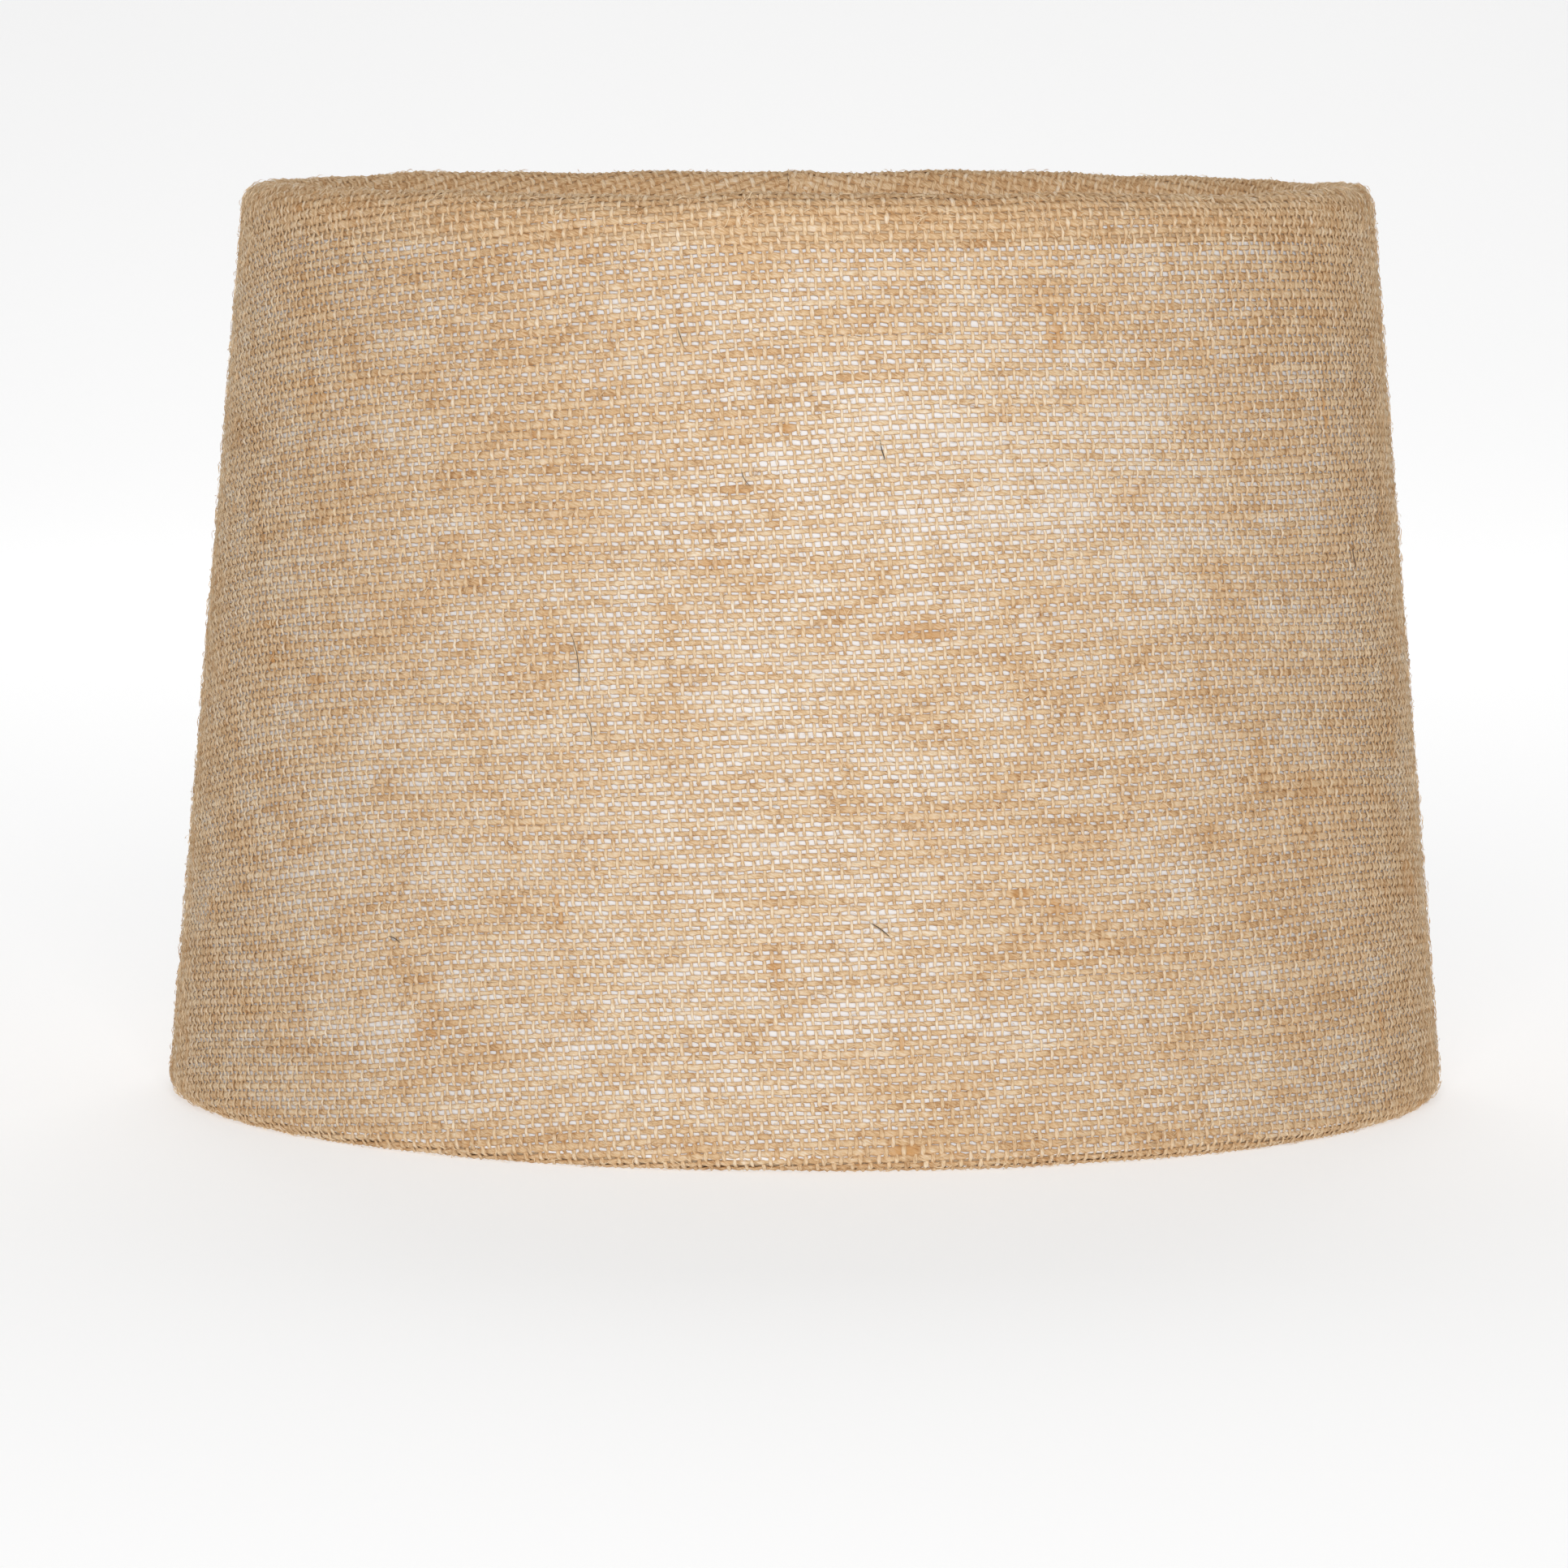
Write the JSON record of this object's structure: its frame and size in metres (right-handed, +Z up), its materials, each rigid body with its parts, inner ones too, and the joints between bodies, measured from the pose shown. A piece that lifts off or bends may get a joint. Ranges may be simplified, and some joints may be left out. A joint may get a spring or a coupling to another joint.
{
  "type": "lamp shade",
  "caption": "Tapered drum lamp shade in woven jute over a white liner, on wire rings, with a swinging gimbal fitter and a lift-out reducer ring.",
  "frame": {"origin": "centre of the circle the bottom hem stands on", "axes": "+Z up along the shade's axis, +X through the gimbal's right pivot, +Y towards the liner's seam at the back"},
  "size_m": [0.3494, 0.3494, 0.248],
  "materials": {
    "jute": "coarse natural plain weave",
    "liner": "smooth white sheet",
    "seam_tape": "smooth white film",
    "white_steel": "white powder coat",
    "rivet_steel": "zinc plated",
    "nylon": "natural nylon",
    "reducer_plastic": "satin white moulding"
  },
  "bodies": {
    "shade": {"jute_cover": "jute", "liner_panel": "liner", "liner_seam_tape": "seam_tape", "top_ring": "white_steel", "bottom_ring": "white_steel", "pivot_lug_right": "white_steel", "pivot_lug_left": "white_steel", "pivot_rivet_right": "rivet_steel", "pivot_rivet_left": "rivet_steel", "pivot_washer_right": "nylon", "pivot_washer_left": "nylon"},
    "gimbal": {"gimbal_arm_right": "white_steel", "gimbal_arm_left": "white_steel", "fitter_ring": "white_steel"},
    "reducer": {"reducer_ring": "reducer_plastic"}
  },
  "joints": [
    {"name": "gimbal_tilt", "type": "hinge", "parent": "shade", "child": "gimbal", "pos_m": [0, 0, 0.2293], "axis": [1, 0, 0], "continuous": true},
    {"name": "reducer_lift", "type": "slide", "parent": "gimbal", "child": "reducer", "axis": [0, 0, 1], "range_m": [0, 0.09]}
  ]
}
